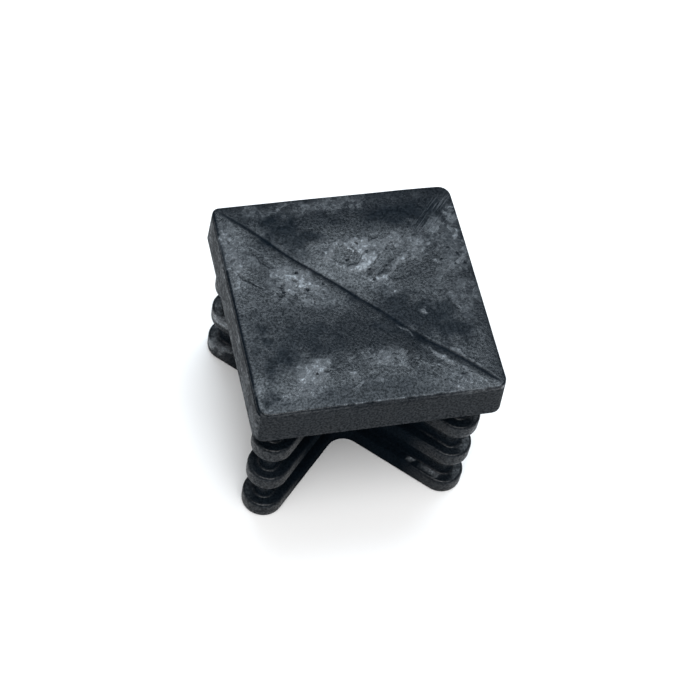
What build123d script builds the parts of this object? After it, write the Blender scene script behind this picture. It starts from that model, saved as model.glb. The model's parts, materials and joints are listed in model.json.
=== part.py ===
from build123d import *
import os

# Square tube insert, in millimetres: a one-piece moulded plug that closes the end of a square tube.
# It stands on the foot of its stem. The origin is at the middle of that foot, and +Z points up
# through the stem to the head. The sides of the head face along X and Y, and the arms of the stem
# run along the diagonals, into the corners of the tube.

# Head, which covers the end of the tube.
head_side = 25.4            # outer side of the tube, and of the head where it seats
head_height = 4.7           # from the seat to the outer edges of the top
head_draft = 2.0            # degrees that the sides lean in towards the top
head_corner_radius = 1.2    # upright corners
head_edge_round = 0.5       # between the sides and the top

# Top of the head. Four facets rise from the sides as those of a low pyramid do, to a crest, and
# fall again to the middle, where the thick stem below has drawn the surface down as it cooled.
# They meet in creases along the diagonals, and swell a little between them. Heights are measured
# from the outer edges of the top.
middle_height = -0.30
crease_inner_height = -0.10     # along a crease, a third and two thirds of the way out
crease_outer_height = 0.08
swell_inner_height = -0.07      # along the middle of a facet, at the same distances
swell_outer_height = 0.14
border_height = -0.18           # where the facets end, past the sides of the head
border_margin = 1.0
blank_rise = 0.18               # how much higher the head is before the facets are cut

# Stem: an upright web, X-shaped in plan, with fins all round it that grip the tube's inside.
fin_count = 3
fin_reach = 15.85           # from the middle to the tip of an arm
fin_thickness = 2.0
fin_pitch = 5.45
fin_overhang = 1.2          # how far a fin stands out from the web
fin_notch_radius = 2.0      # inside corner between two arms
fin_bevel = 0.3             # on the upper and lower edges of a fin
web_thickness = 2.0
neck_height = 3.9           # bare web between the seat and the nearest fin
seat_bevel = 0.5            # where the web runs into the head

# Sizes that follow from these.
fin_width = web_thickness + 2 * fin_overhang
stem_height = (fin_count - 1) * fin_pitch + fin_thickness + neck_height


def fin_outline():
    """Two round-ended bars across the tube's corners, with rounded notches between the arms."""
    with BuildSketch() as outline:
        for turn in (45, -45):
            SlotOverall(2 * fin_reach, fin_width, rotation=turn)
        notches = outline.vertices().group_by(lambda corner: Vector(*corner).length)[0]
        fillet(notches, radius=fin_notch_radius)
    return outline.sketch


def handles(start, inner, outer, end):
    """Control heights of the cubic curve that passes through four evenly spaced heights."""
    inner_handle = (-5 * start + 18 * inner - 9 * outer + 2 * end) / 6
    outer_handle = (2 * start - 9 * inner + 18 * outer - 5 * end) / 6
    return start, inner_handle, outer_handle, end


def facet_surface():
    """One facet, from the middle of the top to past the side of the head at +Y."""
    half = head_side / 2 + border_margin
    along_crease = handles(middle_height, crease_inner_height, crease_outer_height, border_height)
    along_swell = handles(middle_height, swell_inner_height, swell_outer_height, border_height)
    rows = []
    for third, (crease, swell) in enumerate(zip(along_crease, along_swell)):
        out = half * third / 3
        # A quadratic reaches halfway between its middle control point and its ends.
        rows.append([Vector(-out, out, crease), Vector(0, out, 2 * swell - crease), Vector(out, out, crease)])
    return Face.make_bezier_surface(rows)


# What is cut away above the facets, standing on the level of the outer edges.
with BuildPart() as over_facets:
    with PolarLocations(0, 4):
        add(extrude(facet_surface(), amount=head_height, dir=(0, 0, 1), mode=Mode.PRIVATE))

with BuildPart() as square_tube_insert:
    # Web of the stem, from the foot to the seat.
    with BuildSketch():
        add(fin_outline())
        offset(amount=-fin_overhang, mode=Mode.REPLACE)
    extrude(amount=stem_height)
    # Fins, from the foot up.
    for level in range(fin_count):
        with BuildSketch(Plane.XY.offset(level * fin_pitch)):
            add(fin_outline())
        extrude(amount=fin_thickness)
    # Blank of the head, with its upper edge rounded.
    with BuildSketch(Plane.XY.offset(stem_height)):
        RectangleRounded(head_side, head_side, head_corner_radius)
    extrude(amount=head_height + blank_rise, taper=head_draft)
    top_face = faces().sort_by(Axis.Z)[-1]
    fillet(top_face.outer_wire().edges(), radius=head_edge_round)
    # Root of the web under the head, and the edges of the fins.
    seat = faces().filter_by(Axis.Z).filter_by(lambda face: abs(face.center().Z - stem_height) < 1e-3)[0]
    chamfer(seat.inner_wires()[0].edges(), length=seat_bevel)
    fin_faces = faces().filter_by(Axis.Z).filter_by(lambda face: face.center().Z < stem_height - 1e-3)
    chamfer([edge for face in fin_faces for edge in face.outer_wire().edges()], length=fin_bevel)
    # Facets of the top.
    with Locations((0, 0, stem_height + head_height)):
        add(over_facets.part, mode=Mode.SUBTRACT)

square_tube_insert.part.label = "square_tube_insert"
os.makedirs("parts", exist_ok=True)
export_step(square_tube_insert.part, "parts/square_tube_insert.step")
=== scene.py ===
import json
import math

import bmesh
import bpy
from mathutils import Matrix, Vector, noise


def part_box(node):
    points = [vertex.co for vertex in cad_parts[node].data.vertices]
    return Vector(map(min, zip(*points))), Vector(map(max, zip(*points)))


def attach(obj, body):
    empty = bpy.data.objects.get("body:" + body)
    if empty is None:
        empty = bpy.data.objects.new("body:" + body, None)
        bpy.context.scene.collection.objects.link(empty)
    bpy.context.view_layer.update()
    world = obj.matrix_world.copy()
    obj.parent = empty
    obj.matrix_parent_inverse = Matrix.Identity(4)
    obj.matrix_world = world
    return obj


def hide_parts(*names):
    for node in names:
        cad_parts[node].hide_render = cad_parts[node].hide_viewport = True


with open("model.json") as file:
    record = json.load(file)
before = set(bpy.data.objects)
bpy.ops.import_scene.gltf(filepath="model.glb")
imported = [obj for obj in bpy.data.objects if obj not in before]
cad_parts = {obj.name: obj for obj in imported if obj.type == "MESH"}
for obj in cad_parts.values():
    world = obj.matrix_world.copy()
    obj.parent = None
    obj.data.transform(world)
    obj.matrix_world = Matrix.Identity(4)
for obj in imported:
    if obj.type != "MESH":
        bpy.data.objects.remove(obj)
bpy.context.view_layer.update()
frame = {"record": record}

# Square tube insert: one black polyethylene moulding, dressed over the solid that the frame holds.
# Places and sizes are in millimetres along the frame's axes, and become metres as a mesh is built.
# The insert stands on the foot of its stem, the head is on top, and +Y is the back.

MM = 0.001
TOUCH = 0.0005                                  # points this near to each other are one


def mount_height(name):
    """Height of one of the insert's mounts."""
    mount = next(mount for mount in frame["record"]["mounts"] if mount["name"] == name)
    return mount["pos_m"][2] / MM


low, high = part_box("square_tube_insert")

# Head.
head_half = (high[0] - low[0]) / 2 / MM         # where it seats
seat_height = mount_height("seat")
head_height = 4.7
head_draft = math.radians(2.0)
head_corner_radius = 1.2
back_left_sharper = 0.6                         # share of the radius at the back left corner
head_edge_round = 0.22
seat_edge_round = 0.14
head_cells = 180                                # along one side of the top
side_rows = 16
round_steps = 5

# Top of the head: heights over its outer edges, at the middle, a third and two thirds of the way
# out, and where the facets end past the sides.
top_height = seat_height + head_height          # of the outer edges
crease_heights = (-0.34, -0.09, 0.09, -0.18)
swell_heights = (-0.34, -0.04, 0.15, -0.20)
facet_reach = head_half + 1.0
top_clearance = 0.06                            # kept under the solid's highest point
weld_fold = 60                                  # how sharply the facets fold at the weld line
plain_fold = 6                                  # and along the other diagonal

# Weld line, where two flows of plastic met, from the back left to the front right corner.
weld_step = 0.100                               # how much higher the plastic stands on its front left
weld_step_width = 0.12
weld_groove_width = 0.13
weld_lip = 0.012
weld_bend_fade = (12.0, 9.0)                    # how far out its bends have gone, and start to go

# Stem.
fin_count = 3
fin_reach = 15.85
fin_thickness = 2.0
fin_pitch = 5.45
fin_overhang = 1.2
fin_notch_radius = 2.0
fin_rim_round = 0.3
fin_root_round = 0.25
web_thickness = 2.0
neck_flare = 0.5
fin_half_width = web_thickness / 2 + fin_overhang
tier_top = fin_pitch - fin_root_round           # where a fin and the web above it end
notch_steps = 6                                 # in half the notch between two arms
flank_steps = 26                                # along one flank of an arm
tip_steps = 20                                  # round the end of an arm
flat_spacing = 0.45                             # of the rings along a profile's flats


def new_object(name, bm):
    """Object with a smooth-shaded mesh made from bm."""
    mesh = bpy.data.meshes.new(name)
    bm.to_mesh(mesh)
    bm.free()
    mesh.shade_smooth()
    piece = bpy.data.objects.new(name, mesh)
    bpy.context.scene.collection.objects.link(piece)
    return piece


# ---------------------------------------------------------------- head

def cubic_through(heights, along):
    """Cubic through four evenly spaced heights, at a share along of the way."""
    start, inner, outer, end = heights
    third = along - 1 / 3
    two_thirds = along - 2 / 3
    rest = along - 1
    ends = 4.5 * third * two_thirds * (end * along - start * rest)
    return ends + 13.5 * along * rest * (inner * two_thirds - outer * third)


def facet_height(x, y):
    """Height of the facets over the outer edges of the top, with the fold between them eased."""
    sharpness = plain_fold if x * y > 0 else weld_fold
    out = (abs(x) ** sharpness + abs(y) ** sharpness) ** (1 / sharpness)
    if out == 0:
        return swell_heights[0]
    sideways = min(abs(x), abs(y)) / max(abs(x), abs(y))
    crease = cubic_through(crease_heights, out / facet_reach)
    swell = cubic_through(swell_heights, out / facet_reach)
    return swell + (crease - swell) * sideways ** 2


def bell(distance, width):
    """One at a distance of nought, falling to nothing over about twice the width."""
    return math.exp(-(distance / width) ** 2)


def ease(value, start, end):
    """Goes smoothly from 0 where value is start to 1 where it is end."""
    share = max(0, min((value - start) / (end - start), 1))
    return share * share * (3 - 2 * share)


def diagonals(x, y):
    """How far a place lies across the weld line's diagonal and along it, towards the front right."""
    return (x + y) / math.sqrt(2), (x - y) / math.sqrt(2)


def weld_waver(along):
    """How far the weld line wanders from the diagonal, towards the front left corner."""
    return 0.30 * bell(along + 7.8, 3.6) + 0.30 * bell(along - 8.0, 2.8)


def weld_relief(across, along):
    """Height of the weld line: a step that becomes a groove with lips towards the front right corner."""
    uneven = 1 + 0.5 * noise.noise(Vector((along * 0.5 + 9.2, 3.4, 0.5)))
    raised = 0.5 - 0.5 * math.tanh((across + 0.02) / weld_step_width)
    step = weld_step * raised * bell(min(across, 0), 1.6) * ease(along, 6.5, 2.0)
    depth = 0.020 + 0.02 * ease(along, -2.0, 2.0) + 0.03 * ease(along, 6.0, 8.0)
    groove = depth * bell(across, weld_groove_width)
    left_lip = weld_lip * bell(across + 0.70, 0.25) * ease(along, 6.0, 8.5)
    right_lip = weld_lip * bell(across - 0.36, 0.18) * ease(along, 7.5, 9.0)
    return (step - groove + left_lip + right_lip) * uneven


def top_detail(x, y):
    """Weld line, and the unevenness of a surface that has sunk."""
    across, along = diagonals(x, y)
    border = ease(max(abs(x), abs(y)), 12.0, 11.0)
    swell = 0.03 * noise.noise(Vector((x * 0.15 + 20.3, y * 0.15 + 31.6, 7.4)))
    ripple = 0.006 * noise.noise(Vector((x * 0.6 + 50.2, y * 0.6 + 70.7, 4.5)))
    return weld_relief(across, along) * border + swell + ripple


def top_place(x, y):
    """Point of the top surface over a place in plan, with the weld line bent as it lies."""
    across, along = diagonals(x, y)
    border = ease(max(abs(x), abs(y)), *weld_bend_fade)
    bend = weld_waver(along) * bell(across, 4.5) * border / math.sqrt(2)
    height = top_height - top_clearance + facet_height(x, y) + top_detail(x, y)
    return Vector((x - bend, y - bend, height))


def rounded_square(u, v, half, radius):
    """Point of a rounded square's outline for a point (u, v) of the square from -1 to 1."""
    if u < 0 < v:
        radius *= back_left_sharper
    flat = half - radius
    corner = Vector((max(-flat, min(flat, u * half)), max(-flat, min(flat, v * half))))
    beyond = Vector((u * half, v * half)) - corner
    if abs(beyond.x) > 0 and abs(beyond.y) > 0:
        beyond = beyond.normalized() * radius
    return corner + beyond


def head_outline():
    """Points of the square from -1 to 1, once round it from the front left corner."""
    steps = [2 * step / head_cells - 1 for step in range(head_cells)]
    front = [(step, -1.0) for step in steps]
    right = [(1.0, step) for step in steps]
    back = [(-step, 1.0) for step in steps]
    left = [(-1.0, -step) for step in steps]
    return front + right + back + left


def join_rings(bm, rings):
    """Faces between rings of points that follow one another."""
    for ring, following in zip(rings, rings[1:]):
        count = len(ring)
        for place in range(count):
            after = (place + 1) % count
            bm.faces.new((ring[place], ring[after], following[after], following[place]))


def make_top(bm, half, radius):
    """Top of the head, as square rings that grow from the middle. Gives the points of the last ring."""
    grid = {}
    middle = head_cells // 2
    for row in range(head_cells + 1):
        for column in range(head_cells + 1):
            u = column / middle - 1
            v = row / middle - 1
            ring = max(abs(u), abs(v))
            if ring == 0:
                place = Vector((0, 0))
            else:
                place = rounded_square(u / ring, v / ring, half, radius) * ring
            grid[column, row] = bm.verts.new(top_place(place.x, place.y))
    for row in range(head_cells):
        for column in range(head_cells):
            near_left, near_right = grid[column, row], grid[column + 1, row]
            far_right, far_left = grid[column + 1, row + 1], grid[column, row + 1]
            if (column < middle) == (row < middle):
                bm.faces.new((near_left, near_right, far_right))
                bm.faces.new((near_left, far_right, far_left))
            else:
                bm.faces.new((near_left, near_right, far_left))
                bm.faces.new((near_right, far_right, far_left))
    return [grid[round((u + 1) * middle), round((v + 1) * middle)] for u, v in head_outline()]


def make_head(bm):
    """Head with its top, edge rounds and sides, open at the seat."""
    top_half = head_half - head_height * math.tan(head_draft)
    flat_half = top_half - head_edge_round
    flat_radius = head_corner_radius - head_edge_round
    outline = head_outline()
    edge = make_top(bm, flat_half, flat_radius)
    rings = [edge]

    # Round between the top and the sides. It follows the top's heights.
    for step in range(1, round_steps + 1):
        turn = math.pi / 2 * step / round_steps
        out = head_edge_round * math.sin(turn)
        drop = head_edge_round * (1 - math.cos(turn))
        ring = []
        for above, (u, v) in zip(edge, outline):
            place = rounded_square(u, v, flat_half + out, flat_radius + out)
            ring.append(bm.verts.new((place.x, place.y, above.co.z - drop)))
        rings.append(ring)

    # Sides, which lean outwards on their way down.
    rim = rings[-1]
    lowest = seat_height + seat_edge_round
    for row in range(1, side_rows + 1):
        share = row / side_rows
        ring = []
        for above, (u, v) in zip(rim, outline):
            height = above.co.z + (lowest - above.co.z) * share
            half = head_half - (height - seat_height) * math.tan(head_draft)
            place = rounded_square(u, v, half, head_corner_radius)
            ring.append(bm.verts.new((place.x, place.y, height)))
        rings.append(ring)

    # Round between the sides and the seat.
    for step in range(1, round_steps + 1):
        turn = math.pi / 2 * step / round_steps
        inset = seat_edge_round * (1 - math.cos(turn))
        height = lowest - seat_edge_round * math.sin(turn)
        ring = []
        for u, v in outline:
            place = rounded_square(u, v, head_half - inset, head_corner_radius - inset)
            ring.append(bm.verts.new((place.x, place.y, height)))
        rings.append(ring)
    join_rings(bm, rings)


# ---------------------------------------------------------------- stem

def arm_outline():
    """Outline of the arm that points along +X: points on a fin's rim and the ways out of it."""
    notch = fin_half_width + fin_notch_radius
    tip = fin_reach - fin_half_width
    points = []
    for step in range(notch_steps + 1):
        turn = math.radians(135 - 45 * step / notch_steps)
        way = Vector((-math.cos(turn), -math.sin(turn)))
        points.append((Vector((notch, -notch)) - way * fin_notch_radius, way))
    for step in range(1, flank_steps):
        out = notch + (tip - notch) * step / flank_steps
        points.append((Vector((out, -fin_half_width)), Vector((0, -1))))
    for step in range(tip_steps + 1):
        turn = math.radians(180 * step / tip_steps - 90)
        way = Vector((math.cos(turn), math.sin(turn)))
        points.append((Vector((tip, 0)) + way * fin_half_width, way))
    right_side = points[:notch_steps + flank_steps]
    mirrored = [(Vector((point.x, -point.y)), Vector((way.x, -way.y))) for point, way in right_side]
    return points + mirrored[:0:-1]


def stem_outline():
    """Outline of all four arms, which point into the tube's corners."""
    outline = []
    for arm in range(4):
        turn = Matrix.Rotation(math.radians(45 + 90 * arm), 2)
        outline += [(turn @ point, turn @ way) for point, way in arm_outline()]
    return outline


def rounded_corner(middle, radius, start, end, steps=4):
    """Points of an arc, from one angle to another in degrees."""
    turns = [math.radians(start + (end - start) * step / steps) for step in range(steps + 1)]
    return [(middle[0] + radius * math.cos(turn), middle[1] + radius * math.sin(turn)) for turn in turns]


def with_flats(corners):
    """Profile through arcs, with points at about even distances along the flats between them."""
    profile = list(corners[0])
    for corner in corners[1:]:
        start, end = Vector(profile[-1]), Vector(corner[0])
        parts = max(1, round((end - start).length / flat_spacing))
        profile += [tuple(start.lerp(end, part / parts)) for part in range(1, parts)]
        profile += corner
    return profile


def stem_rings(bm, profile):
    """Skin round the stem, for a profile of distances out from a fin's rim, and heights."""
    outline = stem_outline()
    rings = []
    for out, height in profile:
        rings.append([bm.verts.new((*(point + way * out), height)) for point, way in outline])
    join_rings(bm, rings)


def make_tier():
    """One fin with the web above it, up to the next fin's root."""
    web, rim, root = -fin_overhang, fin_rim_round, fin_root_round
    lower_root = rounded_corner((web + root, -root), root, 180, 90)
    lower_rim = rounded_corner((-rim, rim), rim, -90, 0)
    upper_rim = rounded_corner((-rim, fin_thickness - rim), rim, 0, 90)
    upper_root = rounded_corner((web + root, fin_thickness + root), root, 270, 180)
    bm = bmesh.new()
    stem_rings(bm, with_flats([lower_root, lower_rim, upper_rim, upper_root, [(web, tier_top)]]))
    return new_object("stem_tier", bm)


def fin_stack():
    """Geometry Nodes tree that stacks tiers of the stem, one over another."""
    tree = bpy.data.node_groups.new("fin_stack", "GeometryNodeTree")
    tree.interface.new_socket("Tier", in_out="INPUT", socket_type="NodeSocketGeometry")
    tree.interface.new_socket("Count", in_out="INPUT", socket_type="NodeSocketInt")
    tree.interface.new_socket("Pitch", in_out="INPUT", socket_type="NodeSocketFloat")
    tree.interface.new_socket("Finish", in_out="INPUT", socket_type="NodeSocketMaterial")
    tree.interface.new_socket("Stem", in_out="OUTPUT", socket_type="NodeSocketGeometry")
    nodes = tree.nodes
    links = tree.links
    given = nodes.new("NodeGroupInput")
    made = nodes.new("NodeGroupOutput")
    step = nodes.new("ShaderNodeCombineXYZ")
    levels = nodes.new("GeometryNodeMeshLine")
    stack = nodes.new("GeometryNodeInstanceOnPoints")
    real = nodes.new("GeometryNodeRealizeInstances")
    weld = nodes.new("GeometryNodeMergeByDistance")
    finish = nodes.new("GeometryNodeSetMaterial")
    weld.inputs["Distance"].default_value = 2 * TOUCH
    links.new(given.outputs["Pitch"], step.inputs["Z"])
    links.new(given.outputs["Count"], levels.inputs["Count"])
    links.new(step.outputs["Vector"], levels.inputs["Offset"])
    links.new(levels.outputs["Mesh"], stack.inputs["Points"])
    links.new(given.outputs["Tier"], stack.inputs["Instance"])
    links.new(stack.outputs["Instances"], real.inputs["Geometry"])
    links.new(real.outputs["Geometry"], weld.inputs["Geometry"])
    links.new(weld.outputs["Geometry"], finish.inputs["Geometry"])
    links.new(given.outputs["Finish"], finish.inputs["Material"])
    links.new(finish.outputs["Geometry"], made.inputs["Stem"])
    return tree


def set_input(modifier, name, value):
    """Sets one of a Geometry Nodes modifier's named inputs."""
    sockets = modifier.node_group.interface.items_tree
    identifier = next(socket.identifier for socket in sockets if socket.name == name)
    modifier[identifier] = value


def make_stem(finish):
    """Mesh of the three fins and the web between them, in millimetres."""
    tier = make_tier()
    stack = tier.modifiers.new("fin_stack", "NODES")
    stack.node_group = fin_stack()
    set_input(stack, "Count", fin_count)
    set_input(stack, "Pitch", fin_pitch)
    set_input(stack, "Finish", finish)
    bpy.context.view_layer.update()
    evaluated = tier.evaluated_get(bpy.context.evaluated_depsgraph_get())
    mesh = bpy.data.meshes.new_from_object(evaluated)
    bpy.data.objects.remove(tier)
    return mesh


# ---------------------------------------------------------------- the whole moulding

def open_loop(bm, height):
    """The open edges at one height."""
    return [edge for edge in bm.edges if edge.is_boundary
            and all(abs(vert.co.z - height) < TOUCH for vert in edge.verts)]


# Patches of the top: middle, half sizes, turn in degrees and strength of each patch. Some are wear,
# some painted highlight and painted shade, as said over each list. Their ragged edges come from noise with
# this seed.
patch_seed = 710
# Rubbed patches: scuffs, with painted highlights and painted reflections laid over them.
rubbed_and_painted_light_patches = [
    ((-5.7, 2.4), (3.9, 2.1), -46, 0.9),
    ((-7.3, 1.7), (1.9, 2.1), 20, 0.4),
    ((-9.2, 4.0), (1.4, 1.9), 0, 0.25),
    ((-4.2, 1.1), (2.6, 1.3), -40, 0.35),
    ((0.7, 4.4), (4.6, 3.0), -15, 0.6),
    ((1.0, 4.2), (2.6, 2.4), 30, 0.45),
    ((2.9, 1.3), (2.4, 1.3), -35, 0.6),
    ((-1.0, 11.5), (9.0, 1.2), 0, 0.38),
    ((-9.5, 11.4), (2.0, 0.9), 0, 0.15),
    ((-11.4, 6.6), (1.5, 4.8), 0, 0.6),
    ((-6.6, -8.9), (3.4, 1.7), 42, 0.8),
    ((1.4, -7.8), (3.4, 1.5), -15, 0.42),
    ((7.5, -10.9), (4.0, 1.5), -25, 0.52),
    ((6.3, 5.2), (3.2, 2.2), 35, 0.45),
    ((10.8, 5.2), (2.4, 4.2), 0, 0.85),
    ((11.7, 9.0), (0.9, 3.4), 0, 0.5),
    ((10.6, 0.0), (2.4, 4.5), 0, 0.3),
    ((11.4, -8.0), (1.4, 3.5), 0, 0.2),
]
# Painted shade: patches where the gloss is taken away to darken the top.
painted_shade_patches = [
    ((-6.2, 8.0), (4.8, 2.6), -40, 1.05),
    ((-3.0, 7.4), (1.9, 1.0), -20, 1.0),
    ((-0.8, 0.8), (1.5, 0.9), -42, 0.6),
    ((-9.8, -1.8), (2.6, 1.8), 0, 0.3),
    ((-9.2, 7.6), (1.8, 1.0), -40, 0.4),
    ((-4.0, 9.2), (4.5, 1.4), 0, 0.5),
    ((7.4, 9.3), (6.5, 2.0), 0, 1.1),
    ((5.4, -3.0), (6.4, 3.6), -32, 1.25),
    ((9.4, -5.9), (2.4, 1.3), -30, 0.5),
    ((-7.4, -4.6), (4.8, 3.0), 0, 0.9),
    ((-9.2, -7.4), (2.6, 1.4), 30, 0.7),
    ((0.0, -11.6), (12.5, 2.4), 0, 0.9),
    ((-11.4, -5.5), (2.2, 5.0), 0, 0.6),
    ((-10.8, -11.2), (1.8, 1.8), 0, 0.6),
    ((-9.4, -8.9), (1.3, 0.9), 40, 0.4),
]
scratched_patches = [
    ((10.2, 8.4), (5.0, 2.4), 47, 0.65),
    ((2.0, 4.8), (4.6, 2.6), 30, 0.4),
    ((-7.3, -9.2), (4.6, 1.9), 42, 0.4),
    ((2.4, -8.6), (2.8, 1.7), -10, 0.35),
]
# Pale marks: pale flecks of dust together with painted highlights, such as light lips beside the weld line
# and small glints.
pale_marks = [
    ((1.2, 5.9), (1.3, 1.0), 30, 1.2),
    ((1.9, 4.1), (1.6, 0.9), 45, 1.2),
    ((0.5, 3.3), (1.2, 0.45), 15, 1.0),
    ((-1.6, 5.5), (1.5, 0.4), 52, 0.9),
    ((4.7, 6.1), (1.6, 0.8), 35, 0.35),
    ((4.4, 3.1), (2.5, 0.22), 40, 0.9),
    ((3.0, 1.9), (1.2, 0.45), -50, 0.3),
    ((7.3, 5.2), (1.0, 0.9), 0, 0.3),
    ((8.9, 3.0), (0.4, 0.2), 0, 0.4),
    ((-5.7, 2.7), (1.9, 0.8), -42, 0.8),
    ((-7.2, 3.9), (1.1, 0.4), 35, 0.5),
    ((-4.4, 1.6), (1.7, 0.5), -30, 0.35),
    ((-9.6, 5.4), (0.9, 0.4), -60, 0.3),
    ((-11.4, 5.2), (0.4, 1.3), 10, 0.5),
    ((-12.0, 9.0), (0.25, 0.7), 0, 0.5),
    ((-6.4, -8.1), (1.7, 1.0), 35, 0.55),
    ((-8.8, -10.2), (2.2, 0.5), 45, 0.2),
    ((-11.9, -9.3), (0.35, 1.0), -30, 0.4),
    ((-11.2, -11.7), (0.8, 0.25), 30, 0.35),
    ((-2.3, -9.2), (0.9, 0.3), -40, 0.5),
    ((-2.2, -10.4), (1.0, 0.2), 20, 0.6),
    ((-0.4, -10.1), (1.0, 0.18), -10, 0.45),
    ((1.0, -7.9), (1.1, 0.35), 20, 0.4),
    ((2.9, -7.4), (0.8, 0.3), 60, 0.3),
    ((3.8, -4.5), (1.0, 0.12), -49, 0.3),
    ((6.9, -8.4), (1.9, 0.24), -46, 0.9),
    ((9.6, -10.9), (1.9, 0.18), -45, 0.5),
    ((9.1, -8.5), (1.5, 0.2), -43, 0.4),
    ((7.0, -11.7), (1.2, 0.3), -20, 0.35),
    ((6.25, -2.5), (0.35, 0.14), 0, 0.8),
]
dark_marks = [
    ((0.0, 4.9), (1.4, 1.1), 0, 1.1),
    ((3.4, 3.9), (2.4, 0.6), 46, 1.1),
    ((3.1, 6.9), (0.8, 0.2), 45, 1.0),
    ((5.8, 2.5), (2.0, 1.0), 20, 0.7),
    ((-6.0, 2.6), (0.24, 0.24), 0, 1.2),
    ((-5.2, 1.9), (0.2, 0.2), 0, 0.9),
    ((-10.4, 2.9), (1.3, 0.2), -40, 0.8),
    ((-7.6, 1.4), (1.2, 0.2), 60, 0.7),
    ((-8.7, 5.6), (1.6, 0.3), -55, 0.5),
    ((-10.8, -9.9), (1.4, 0.25), -55, 0.5),
    ((-5.0, -8.4), (0.3, 0.22), 0, 1.0),
    ((-3.6, -8.0), (1.4, 0.6), 80, 0.5),
    ((-0.6, -9.6), (1.6, 0.35), 15, 0.4),
    ((4.6, -9.2), (1.8, 0.7), -30, 0.4),
]

# Painted highlights on the fins, for each fin from the foot up.
fin_highlights = [
    [
        ((6.75, -8.35), (0.45, 0.35), 0, 1.3),
        ((8.15, -9.9), (1.1, 0.4), -48, 1.2),
        ((-10.8, 8.4), (2.0, 0.28), -45, 1.3),
    ],
    [((-11.3, 8.2), (1.3, 0.7), -58, 1.3)],
    [],
]

# How patches and marks fade, from an outer to an inner share of their half sizes.
patch_fade = (1.15, 0.30)
mark_fade = (1.20, 0.75)

# How far the top's patches reach down over its edges, a painted highlight along the front edge, painted shade
# along the left edge, painted light on the left side, and painted shade on the stem between its arms.
edge_depth = 0.7                                # under the top, how far the top's wear, painted light and painted shade go down
front_edge_line = -12.38
front_edge_highlight_strength = 0.6
left_edge_fade = (-12.25, -12.45)
left_edge_painted_shade = 3.0
left_side_from = -12.3
left_side_painted_light = 0.45                        # on average
stem_painted_shade_fade = (14.5, 9.0)                 # distances from the middle
stem_painted_shade = 1.4


def patch_share(x, y, patches, fade):
    """How much some patches with ragged edges cover a place. The patches are wear, painted highlights and
    painted shade.
    """
    place = Vector((x, y, 0))
    waver = 0.45 * noise.noise_vector(place * 0.8)
    fine_waver = 0.22 * noise.noise_vector(place * 2.3)
    bent = (place + waver + fine_waver).to_2d()
    ragged = 0.45 * noise.fractal(place * 0.5, 0.8, 2.0, 5)
    outer, inner = fade
    total = 0
    for middle, half_size, turn, strength in patches:
        local = Matrix.Rotation(-math.radians(turn), 2) @ (bent - Vector(middle))
        distance = math.hypot(local.x / half_size[0], local.y / half_size[1])
        if distance < 2 * outer:
            total += strength * ease(distance + ragged, outer, inner)
    return total


def weld_mark(x, y):
    """How much a place of the top is taken up by the weld line, which is fainter on one stretch. The finish
    takes the gloss away there, as painted shade of its groove.
    """
    across, along = diagonals(x, y)
    border = max(abs(x), abs(y))
    line = across + weld_waver(along) * ease(border, *weld_bend_fade)
    return bell(line, 0.15) * ease(border, 12.2, 11.4) * (1 - 0.5 * bell(along - 5.0, 2.0))


def front_edge_highlight(x, y):
    """How much a place of the top is taken up by the broken painted highlight along the front edge."""
    broken = ease(noise.noise(Vector((x, 0, 5))), -0.4, 0.2)
    return bell(y - front_edge_line, 0.10) * ease(x, -6.0, -2.0) * broken


def mark_wear_and_painted_light(bm):
    """Attributes that say how the weld line, the wear, and the painted highlights and painted shade lie over
    the head and the stem.
    """
    noise.seed_set(patch_seed)
    names = ("weld", "rubbed_and_painted_light", "painted_shade", "scratched", "pale", "dark")
    weld, rubbed_and_painted_light, painted_shade, scratched, pale, dark = (bm.verts.layers.float.new(name) for name in names)
    for vert in bm.verts:
        x, y, height = vert.co
        if height > top_height - edge_depth:
            # Painted shade along the left edge: its gloss is taken away.
            left_edge = left_edge_painted_shade * ease(x, *left_edge_fade)
            vert[weld] = weld_mark(x, y)
            vert[rubbed_and_painted_light] = patch_share(x, y, rubbed_and_painted_light_patches, patch_fade)
            vert[painted_shade] = patch_share(x, y, painted_shade_patches, patch_fade) + left_edge
            vert[scratched] = patch_share(x, y, scratched_patches, patch_fade)
            # Pale flecks and painted highlights, and the painted highlight along the front edge.
            vert[pale] = patch_share(x, y, pale_marks, mark_fade) + front_edge_highlight_strength * front_edge_highlight(x, y)
            vert[dark] = patch_share(x, y, dark_marks, mark_fade)
        elif x < left_side_from:
            # Painted light: the head's left side is made lighter and glossier than its front.
            vert[rubbed_and_painted_light] = left_side_painted_light + 0.5 * noise.noise(Vector((0, y * 0.9, height)))
        elif height < seat_height:
            # Painted shade: the stem loses gloss towards its middle, between its arms under the head.
            vert[painted_shade] = stem_painted_shade * ease(math.hypot(x, y), *stem_painted_shade_fade)
            # Painted highlights on the fins.
            fin, over = divmod(height, fin_pitch)
            if fin_thickness / 2 < over < fin_thickness + TOUCH:
                vert[pale] = patch_share(x, y, fin_highlights[int(fin)], mark_fade)


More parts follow.
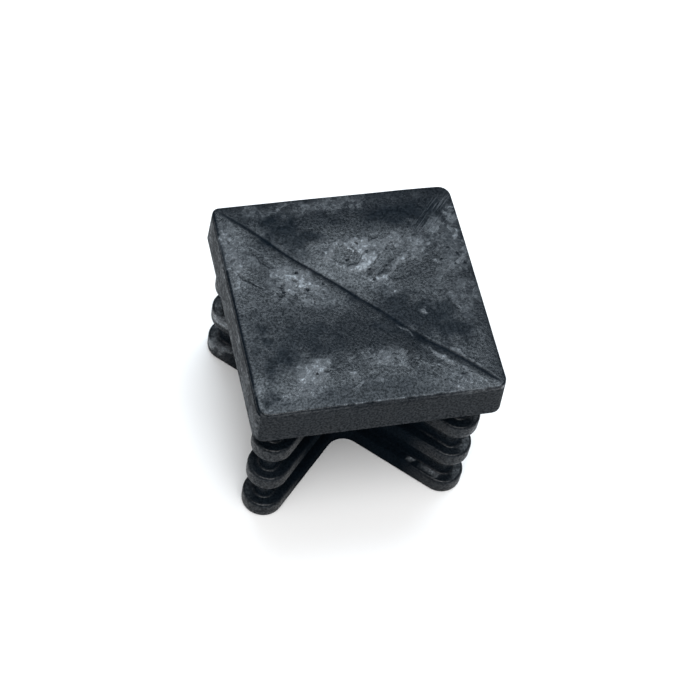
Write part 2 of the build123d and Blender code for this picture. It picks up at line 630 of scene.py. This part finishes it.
def make_insert(finish):
    """The whole insert as one closed skin, in metres."""
    bm = bmesh.new()
    bm.from_mesh(make_stem(finish))

    # The lowest fin has no web under it, so its root is cut off and its face closed.
    spare = [vert for vert in bm.verts if vert.co.z < -TOUCH]
    bmesh.ops.delete(bm, geom=spare, context="VERTS")
    bmesh.ops.triangle_fill(bm, use_beauty=True, edges=open_loop(bm, 0.0))

    # Neck, which flares into the seat.
    flare_middle = (neck_flare - fin_overhang, seat_height - neck_flare)
    neck = [(-fin_overhang, (fin_count - 1) * fin_pitch + tier_top)]
    stem_rings(bm, neck + rounded_corner(flare_middle, neck_flare, 180, 90, steps=6))
    make_head(bm)
    bmesh.ops.remove_doubles(bm, verts=bm.verts[:], dist=TOUCH)
    bmesh.ops.triangle_fill(bm, use_beauty=True, edges=open_loop(bm, seat_height))
    bmesh.ops.recalc_face_normals(bm, faces=bm.faces[:])
    mark_wear_and_painted_light(bm)
    bmesh.ops.scale(bm, vec=(MM, MM, MM), verts=bm.verts[:])
    return new_object("insert_moulding", bm)


# ---------------------------------------------------------------- finishes

class Value:
    """A number that varies over a surface. Arithmetic on it adds Math nodes to its finish."""

    def __init__(self, finish, socket):
        self.finish = finish
        self.socket = socket

    def __add__(self, other):
        return self.finish.math("ADD", self, other)

    def __sub__(self, other):
        return self.finish.math("SUBTRACT", self, other)

    def __rsub__(self, other):
        return self.finish.math("SUBTRACT", other, self)

    def __mul__(self, other):
        return self.finish.math("MULTIPLY", self, other)

    __radd__ = __add__
    __rmul__ = __mul__


class Finish:
    """Material whose nodes are added one by one."""

    def __init__(self, name):
        self.material = bpy.data.materials.new(name)
        self.material.use_nodes = True
        self.tree = self.material.node_tree
        self.tree.nodes.clear()

    def node(self, kind, settings=None, inputs=None):
        """Adds a node: its type, its settings, then the values or links of its sockets."""
        node = self.tree.nodes.new("ShaderNode" + kind)
        for name, value in (settings or {}).items():
            setattr(node, name, value)
        for name, value in (inputs or {}).items():
            if isinstance(value, Value):
                value = value.socket
            if isinstance(value, bpy.types.NodeSocket):
                self.tree.links.new(value, node.inputs[name])
            else:
                node.inputs[name].default_value = value
        return node

    def math(self, operation, *values):
        """Value of a Math node."""
        node = self.node("Math", {"operation": operation}, dict(enumerate(values)))
        return Value(self, node.outputs[0])

    def step(self, value, start, end):
        """Goes smoothly from 0 where value is start to 1 where it is end."""
        node = self.node("MapRange", {"interpolation_type": "SMOOTHSTEP"},
                         {"Value": value, "From Min": start, "From Max": end})
        return Value(self, node.outputs["Result"])

    def noise(self, place, scale, detail=2.0, rough=0.5):
        """Noise from 0 to 1 at a place in millimetres, with scale as bumps per millimetre."""
        node = self.node("TexNoise", {"normalize": True},
                         {"Vector": place, "Scale": scale, "Detail": detail, "Roughness": rough})
        return Value(self, node.outputs["Fac"])

    def flakes(self, place, scale):
        """Flakes with sharp edges, each with a value of its own from 0 to 1."""
        cells = self.node("TexVoronoi", {"feature": "F1"}, {"Vector": place, "Scale": scale})
        value = self.node("SeparateColor", {}, {"Color": cells.outputs["Color"]}).outputs["Red"]
        return Value(self, value)

    def attribute(self, name):
        """Value of one of the mesh's attributes."""
        return Value(self, self.node("Attribute", {"attribute_name": name}).outputs["Fac"])

    def mix(self, share, first, second):
        """Colour between two others."""
        node = self.node("Mix", {"data_type": "RGBA"}, {0: share, 6: first, 7: second})
        return node.outputs[2]


# Colours of the plastic's grain, and of the dust and scuffs on it; the grey of the scuffs also serves for
# painted highlights.
deep_black = (0.001, 0.002, 0.003, 1)
worn_black = (0.005, 0.009, 0.014, 1)
scuff_and_highlight_grey = (0.25, 0.28, 0.31, 1)
flake_turn = math.radians(40)                   # the way that flakes are drawn out
scratch_turn = math.radians(47)                 # the way that scratches run
deepest_relief = 0.3 * MM


def black_polyethylene():
    """Black polyethylene that has been handled: its top is rubbed and scuffed in patches, and scratched.
    Painted highlights, painted reflections and painted shade lie over it in patches too.
    """
    finish = Finish("black_polyethylene_scuffed_painted_light")
    where = finish.node("TexCoord").outputs["Object"]
    place = finish.node("Mapping", {"vector_type": "POINT"}, {"Vector": where, "Scale": (1 / MM,) * 3})
    place = place.outputs["Vector"]
    height = Value(finish, finish.node("SeparateXYZ", {}, {"Vector": place}).outputs["Z"])
    on_top = finish.step(height, top_height - 0.60, top_height - 0.50)
    on_side = finish.step(height, seat_height, seat_height + 0.1) * (1 - on_top)
    on_stem = finish.step(height, seat_height, seat_height - 0.1)
    weld = finish.attribute("weld")
    rubbed_and_painted_light = finish.attribute("rubbed_and_painted_light") * (1 - weld)
    painted_shade = finish.attribute("painted_shade")
    pale = finish.attribute("pale")
    dark = finish.attribute("dark")

    # Rubbed patches and painted highlights, broken into flakes and flecks with pits between them.
    bent = finish.node("VectorMath", {"operation": "MULTIPLY_ADD"}, {
        0: finish.node("TexNoise", {}, {"Vector": place, "Scale": 1.3, "Detail": 3.0}).outputs["Color"],
        1: (0.7, 0.7, 0.7), 2: place}).outputs["Vector"]
    drawn_out = finish.node("Mapping", {"vector_type": "TEXTURE"}, {
        "Vector": bent, "Rotation": (0, 0, flake_turn), "Scale": (2.6, 1.4, 1.0)}).outputs["Vector"]
    flake = finish.step(finish.flakes(drawn_out, 1.0) * 0.6 + finish.flakes(bent, 2.2) * 0.4, 0.44, 0.52)
    crumbs = finish.noise(place, 2.2, 4.0, 0.78)
    flecks = finish.step(crumbs, 0.40, 0.60)
    white_flecks = finish.step(crumbs, 0.56, 0.64)
    crust_and_painted_light = rubbed_and_painted_light * (flake * 0.65 + 0.2) * (flecks * 0.6 + 0.4) + pale * (flecks * 0.6 + 0.4)
    crust_and_painted_light = finish.math("MINIMUM", finish.math("MAXIMUM", crust_and_painted_light - dark * 0.55, 0.0), 1.3)
    pit = finish.node("TexVoronoi", {"feature": "F1"}, {"Vector": bent, "Scale": 0.9})
    pit = finish.step(Value(finish, pit.outputs["Distance"]), 0.18, 0.10) * finish.step(rubbed_and_painted_light, 0.3, 0.7)

    # Scratches, as noise that is drawn out.
    turned = finish.node("Mapping", {"vector_type": "TEXTURE"},
                         {"Vector": place, "Rotation": (0, 0, scratch_turn), "Scale": (3.0, 0.14, 1.0)})
    scratch = finish.step(finish.noise(turned.outputs["Vector"], 1.0, 3.0, 0.6), 0.52, 0.66)
    scratch = scratch * finish.attribute("scratched")

    # Colour and roughness. Scuffs and painted highlights make the colour grey.
    mottle = finish.noise(place, 0.35, 4.0, 0.6)
    grain = finish.step(finish.noise(place, 4.2, 2.0, 0.7), 0.30, 0.70)
    colour = finish.mix(mottle * 0.5 + grain * 0.5, deep_black, worn_black)
    dust_and_painted_light = finish.math("MINIMUM", crust_and_painted_light * (white_flecks * 0.6 + 0.60) + scratch * 0.4, 1.3) * (1 - pit)
    colour = finish.mix(dust_and_painted_light * 0.6, colour, scuff_and_highlight_grey)
    roughness = 0.20 + mottle * 0.12 + crust_and_painted_light * 0.08 + on_side * 0.35 + on_stem * 0.05 + weld * 0.4

    # Relief too fine for the mesh.
    waves = finish.noise(place, 1.2, 4.0, 0.6) * (crust_and_painted_light * 0.28 + 0.08)
    stem_waves = finish.noise(place, 0.5) * on_stem * 0.6
    relief = waves + stem_waves + crust_and_painted_light * 0.12 + grain * 0.02 - scratch * 0.06 - pit * 0.25 - dark * 0.1
    bump = finish.node("Bump", {}, {"Strength": 0.8, "Distance": deepest_relief, "Height": relief})
    bump = bump.outputs["Normal"]

    # Gloss, as the share of a glossy finish that is mixed into a dull one. Rubbed patches and pale marks
    # raise it as painted highlights, painted shade lowers it, and it is cut along the weld line as painted
    # shade of its groove.
    gloss = 0.40 + on_top * 0.09 + crust_and_painted_light * 0.9 + scratch * 0.2 - painted_shade * 0.30
    gloss = finish.math("MAXIMUM", gloss - pit * 0.5, on_top * 0.10 + 0.02)
    gloss = finish.math("MINIMUM", gloss * (grain * 1.2 + 0.4) * (1 - weld * 0.85), 1.0)
    dull, glossy = (finish.node("BsdfPrincipled", {}, {
        "Base Color": colour, "Roughness": roughness, "IOR": 1.5, "Specular IOR Level": level, "Normal": bump,
    }).outputs["BSDF"] for level in (0.0, 0.5))
    shader = finish.node("MixShader", {}, {0: gloss, 1: dull, 2: glossy})
    output = finish.node("OutputMaterial")
    finish.tree.links.new(shader.outputs[0], output.inputs["Surface"])
    return finish.material


def floor_finish():
    """Plain pale floor."""
    finish = Finish("pale_floor")
    shader = finish.node("BsdfPrincipled", {}, {"Base Color": (0.86, 0.86, 0.86, 1), "Roughness": 0.9,
                                                "Specular IOR Level": 0.0})
    output = finish.node("OutputMaterial")
    finish.tree.links.new(shader.outputs["BSDF"], output.inputs["Surface"])
    return finish.material


# ---------------------------------------------------------------- stage, lights and camera

def make_floor():
    """Floor that the insert stands on."""
    bm = bmesh.new()
    bmesh.ops.create_grid(bm, x_segments=1, y_segments=1, size=3.0)
    floor = new_object("studio_floor", bm)
    floor.data.materials.append(floor_finish())


def from_above(azimuth, elevation, distance):
    """Place at a distance from the middle of the top, with azimuth anticlockwise from the front, and
    the way out to it."""
    turn = math.radians(azimuth)
    rise = math.radians(elevation)
    way = Vector((math.sin(turn) * math.cos(rise), -math.cos(turn) * math.cos(rise), math.sin(rise)))
    return Vector((0, 0, top_height * MM)) + way * distance, way


def soft_light(name, azimuth, elevation, distance, width, height, brightness, colour=(1, 1, 1)):
    """Rectangular soft light that faces the insert, brightness being what its face sends out."""
    lamp = bpy.data.lights.new(name, "AREA")
    lamp.shape = "RECTANGLE"
    lamp.size = width
    lamp.size_y = height
    lamp.energy = brightness * math.pi * width * height
    lamp.color = colour
    light = bpy.data.objects.new(name, lamp)
    light.location, way = from_above(azimuth, elevation, distance)
    light.rotation_euler = way.to_track_quat("Z", "Y").to_euler()
    bpy.context.scene.collection.objects.link(light)


def make_world(brightness):
    """Even white surroundings."""
    world = bpy.data.worlds.new("studio")
    world.use_nodes = True
    world.node_tree.nodes["Background"].inputs["Color"].default_value = (1, 1, 1, 1)
    world.node_tree.nodes["Background"].inputs["Strength"].default_value = brightness
    bpy.context.scene.world = world


def make_camera():
    """Camera over the front left corner, turned a little about its own axis."""
    azimuth = math.radians(-23.407)
    elevation = math.radians(55.706)
    roll = math.radians(12.991)
    distance = 222.261 * MM
    aim_left, aim_down = 0.792, 5.472               # of the middle of the top, as the camera sees it
    back = Vector((math.sin(azimuth) * math.cos(elevation), -math.cos(azimuth) * math.cos(elevation),
                   math.sin(elevation)))
    level = Vector((math.cos(azimuth), math.sin(azimuth), 0))
    rise = back.cross(level)
    right = level * math.cos(roll) + rise * math.sin(roll)
    up = rise * math.cos(roll) - level * math.sin(roll)
    lens = bpy.data.cameras.new("studio_camera")
    lens.sensor_width = 36.0
    lens.lens = 114.654
    lens.clip_start = 0.01
    camera = bpy.data.objects.new("studio_camera", lens)
    aim = Vector((0, 0, top_height * MM)) - (right * aim_left + up * aim_down) * MM
    facing = Matrix((right, up, back)).transposed().to_4x4()
    camera.matrix_world = Matrix.Translation(aim + back * distance) @ facing
    bpy.context.scene.collection.objects.link(camera)
    bpy.context.scene.camera = camera


plastic = black_polyethylene()
insert = make_insert(plastic)
insert.data.materials.clear()
insert.data.materials.append(plastic)
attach(insert, "root")
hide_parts("square_tube_insert")

make_floor()
make_world(brightness=0.4)
soft_light("back_softbox", azimuth=156.6, elevation=68.5, distance=0.6, width=0.46, height=0.23, brightness=9,
           colour=(0.80, 0.91, 1.0))
soft_light("front_fill", azimuth=-15, elevation=66, distance=0.8, width=0.7, height=0.6, brightness=5)
make_camera()
bpy.context.scene.view_settings.view_transform = "Standard"
